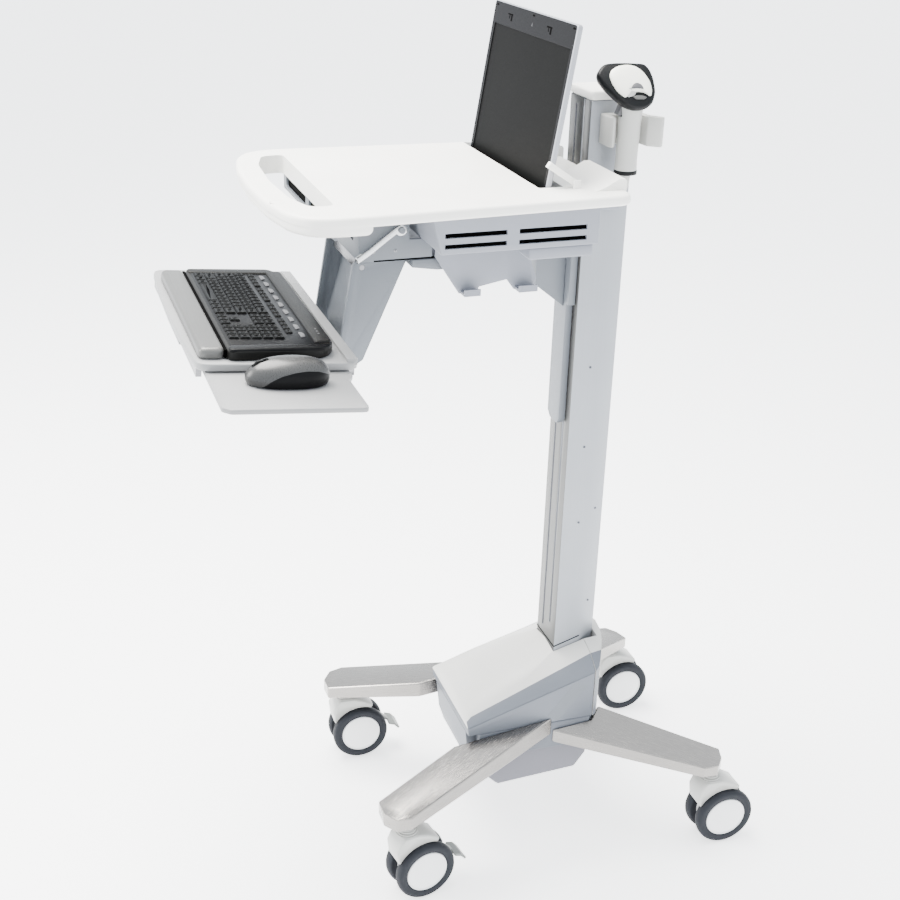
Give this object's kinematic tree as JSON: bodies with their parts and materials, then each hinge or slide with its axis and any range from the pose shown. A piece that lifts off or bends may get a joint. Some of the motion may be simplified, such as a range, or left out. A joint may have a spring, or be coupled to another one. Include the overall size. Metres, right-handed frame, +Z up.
{
  "type": "medication cart",
  "caption": "Laptop medication cart: a caster base with a lift column, a worksurface with a grip rim, a laptop box, a hanging keyboard tray with a mouse shelf, and a handheld scanner.",
  "frame": {"origin": "on the floor under the middle of the cart's overall footprint, from the front edge of the keyboard tray to the back of the rear wheels, and from the left wheels to the end of the mouse shelf", "axes": "+Z up; -Y towards the user, who stands at the keyboard tray; +X to the user's right"},
  "size_m": [0.592, 0.9503, 1.3944],
  "materials": {
    "hub_paint": "satin powder coat",
    "tub_plastic": "fine moulded texture",
    "steel": "machined or plated",
    "leg_aluminium": "polished casting",
    "white_shell": "fine moulded texture",
    "pale_shell": "fine moulded texture",
    "column_aluminium": "fine brushed anodised",
    "black_plastic": "matt",
    "grey_metal": "satin powder coat",
    "lever_metal": "satin",
    "laptop_case": "satin with a silver rim",
    "key_plastic": "matt",
    "silver_plastic": "metallic lacquer",
    "cream_plastic": "satin",
    "trigger_grey": "matt",
    "caster_white": "moulded nylon",
    "tyre": "smooth, with white wheel discs",
    "pedal_grey": "moulded nylon"
  },
  "bodies": {
    "root": {"hub_casting": "hub_paint", "under_tub": "tub_plastic", "ballast_weight": "steel", "leg_front_right": "leg_aluminium", "leg_front_left": "leg_aluminium", "leg_rear_right": "leg_aluminium", "leg_rear_left": "leg_aluminium", "base_top_cover": "white_shell", "base_skirt": "pale_shell", "base_rear_cover": "white_shell", "column_extrusion": "column_aluminium", "column_cap": "white_shell", "gas_spring_cylinder": "black_plastic", "scanner_holder": "cream_plastic"},
    "lift": {"carriage_plate": "grey_metal", "carriage_gusset": "grey_metal", "carriage_guide": "black_plastic", "gas_spring_rod": "steel", "carriage_collar": "pale_shell", "worksurface": "white_shell", "laptop_box": "pale_shell", "box_lower_housing": "pale_shell", "deck_frame": "grey_metal", "arm_stop_plate": "grey_metal", "cable_hanger": "white_shell", "laptop_base": "laptop_case", "arm_pivot_bracket": "steel"},
    "release_lever": {"release_lever": "lever_metal"},
    "lid_clip": {"lid_clip": "white_shell"},
    "laptop_lid": {"laptop_lid": "laptop_case"},
    "keyboard_arm": {"keyboard_arm": "grey_metal", "arm_pivot_pin": "steel", "tray_pivot_pin": "steel"},
    "keyboard_tray": {"keyboard_tray": "white_shell", "tray_slide_frame": "steel", "keyboard": "key_plastic", "wrist_rest": "silver_plastic"},
    "mouse_tray": {"mouse_tray": "white_shell"},
    "mouse": {"mouse": "silver_plastic"},
    "mouse_wheel": {"mouse_wheel": "black_plastic"},
    "scanner": {"scanner": "cream_plastic"},
    "scanner_trigger": {"scanner_trigger": "trigger_grey"},
    "caster_front_right": {"caster_front_right_body": "caster_white", "caster_front_right_axle": "steel"},
    "caster_front_right_wheel_inner": {"caster_front_right_wheel_inner": "tyre"},
    "caster_front_right_wheel_outer": {"caster_front_right_wheel_outer": "tyre"},
    "brake_pedal_front_right": {"brake_pedal_front_right": "pedal_grey"},
    "caster_front_left": {"caster_front_left_body": "caster_white", "caster_front_left_axle": "steel"},
    "caster_front_left_wheel_inner": {"caster_front_left_wheel_inner": "tyre"},
    "caster_front_left_wheel_outer": {"caster_front_left_wheel_outer": "tyre"},
    "brake_pedal_front_left": {"brake_pedal_front_left": "pedal_grey"},
    "caster_rear_right": {"caster_rear_right_body": "caster_white", "caster_rear_right_axle": "steel"},
    "caster_rear_right_wheel_inner": {"caster_rear_right_wheel_inner": "tyre"},
    "caster_rear_right_wheel_outer": {"caster_rear_right_wheel_outer": "tyre"},
    "caster_rear_left": {"caster_rear_left_body": "caster_white", "caster_rear_left_axle": "steel"},
    "caster_rear_left_wheel_inner": {"caster_rear_left_wheel_inner": "tyre"},
    "caster_rear_left_wheel_outer": {"caster_rear_left_wheel_outer": "tyre"}
  },
  "joints": [
    {"name": "lift_slide", "type": "slide", "parent": "root", "child": "lift", "axis": [0, 0, 1], "range_m": [-0.39, 0.05]},
    {"name": "release_lever_pull", "type": "hinge", "parent": "lift", "child": "release_lever", "pos_m": [0.052, -0.15326, 1.119], "axis": [-1, 0, 0], "range_deg": [0, 12], "stiffness_Nm_per_rad": 0.6},
    {"name": "lid_clip_turn", "type": "hinge", "parent": "lift", "child": "lid_clip", "pos_m": [0.088, 0.09374, 1.1795], "axis": [1, 0, 0], "range_deg": [-60, 10]},
    {"name": "laptop_lid_tilt", "type": "hinge", "parent": "lift", "child": "laptop_lid", "pos_m": [-0.081, 0.05174, 1.133], "axis": [1, 0, 0], "range_deg": [-12, 12]},
    {"name": "keyboard_arm_swing", "type": "hinge", "parent": "lift", "child": "keyboard_arm", "pos_m": [-0.057, -0.20226, 1.058], "axis": [1, 0, 0], "range_deg": [-15, 0]},
    {"name": "keyboard_tray_tilt", "type": "hinge", "parent": "keyboard_arm", "child": "keyboard_tray", "pos_m": [-0.057, -0.22626, 0.928], "axis": [1, 0, 0], "range_deg": [-5, 12]},
    {"name": "mouse_tray_slide", "type": "slide", "parent": "keyboard_tray", "child": "mouse_tray", "axis": [1, 0, 0], "range_m": [-0.065, 0]},
    {"name": "mouse_shift", "type": "slide", "parent": "mouse_tray", "child": "mouse", "axis": [1, 0, 0], "range_m": [0, 0.065]},
    {"name": "mouse_wheel_roll", "type": "hinge", "parent": "mouse", "child": "mouse_wheel", "pos_m": [0.205, -0.39058, 0.99198], "axis": [1, 0, 0], "continuous": true},
    {"name": "scanner_lift_out", "type": "slide", "parent": "root", "child": "scanner", "axis": [0, 0, 1], "range_m": [0, 0.09]},
    {"name": "scanner_trigger_pull", "type": "hinge", "parent": "scanner", "child": "scanner_trigger", "pos_m": [0.0165, 0.19174, 1.273], "axis": [1, 0, 0], "range_deg": [0, 7], "stiffness_Nm_per_rad": 0.06},
    {"name": "caster_front_right_swivel", "type": "hinge", "parent": "root", "child": "caster_front_right", "pos_m": [0.1455, -0.15726, 0.136], "axis": [0, 0, 1], "continuous": true},
    {"name": "caster_front_right_wheel_inner_spin", "type": "hinge", "parent": "caster_front_right", "child": "caster_front_right_wheel_inner", "pos_m": [0.14098, -0.13166, 0.053], "axis": [0.9848, 0.1736, 0], "continuous": true},
    {"name": "caster_front_right_wheel_outer_spin", "type": "hinge", "parent": "caster_front_right", "child": "caster_front_right_wheel_outer", "pos_m": [0.14098, -0.13166, 0.053], "axis": [0.9848, 0.1736, 0], "continuous": true},
    {"name": "brake_pedal_front_right_press", "type": "hinge", "parent": "caster_front_right", "child": "brake_pedal_front_right", "pos_m": [0.13855, -0.11787, 0.086], "axis": [-0.9848, -0.1736, 0], "range_deg": [0, 7]},
    {"name": "caster_front_left_swivel", "type": "hinge", "parent": "root", "child": "caster_front_left", "pos_m": [-0.2595, -0.15726, 0.136], "axis": [0, 0, 1], "continuous": true},
    {"name": "caster_front_left_wheel_inner_spin", "type": "hinge", "parent": "caster_front_left", "child": "caster_front_left_wheel_inner", "pos_m": [-0.2595, -0.13126, 0.053], "axis": [1, 0, 0], "continuous": true},
    {"name": "caster_front_left_wheel_outer_spin", "type": "hinge", "parent": "caster_front_left", "child": "caster_front_left_wheel_outer", "pos_m": [-0.2595, -0.13126, 0.053], "axis": [1, 0, 0], "continuous": true},
    {"name": "brake_pedal_front_left_press", "type": "hinge", "parent": "caster_front_left", "child": "brake_pedal_front_left", "pos_m": [-0.2595, -0.11726, 0.086], "axis": [-1, 0, 0], "range_deg": [0, 7]},
    {"name": "caster_rear_right_swivel", "type": "hinge", "parent": "root", "child": "caster_rear_right", "pos_m": [0.152, 0.39624, 0.136], "axis": [0, 0, 1], "continuous": true},
    {"name": "caster_rear_right_wheel_inner_spin", "type": "hinge", "parent": "caster_rear_right", "child": "caster_rear_right_wheel_inner", "pos_m": [0.152, 0.42224, 0.053], "axis": [1, 0, 0], "continuous": true},
    {"name": "caster_rear_right_wheel_outer_spin", "type": "hinge", "parent": "caster_rear_right", "child": "caster_rear_right_wheel_outer", "pos_m": [0.152, 0.42224, 0.053], "axis": [1, 0, 0], "continuous": true},
    {"name": "caster_rear_left_swivel", "type": "hinge", "parent": "root", "child": "caster_rear_left", "pos_m": [-0.266, 0.39624, 0.136], "axis": [0, 0, 1], "continuous": true},
    {"name": "caster_rear_left_wheel_inner_spin", "type": "hinge", "parent": "caster_rear_left", "child": "caster_rear_left_wheel_inner", "pos_m": [-0.266, 0.42224, 0.053], "axis": [1, 0, 0], "continuous": true},
    {"name": "caster_rear_left_wheel_outer_spin", "type": "hinge", "parent": "caster_rear_left", "child": "caster_rear_left_wheel_outer", "pos_m": [-0.266, 0.42224, 0.053], "axis": [1, 0, 0], "continuous": true}
  ],
  "couplings": [
    {"joint": "mouse_shift", "follows": "mouse_tray_slide", "ratio": -1}
  ]
}
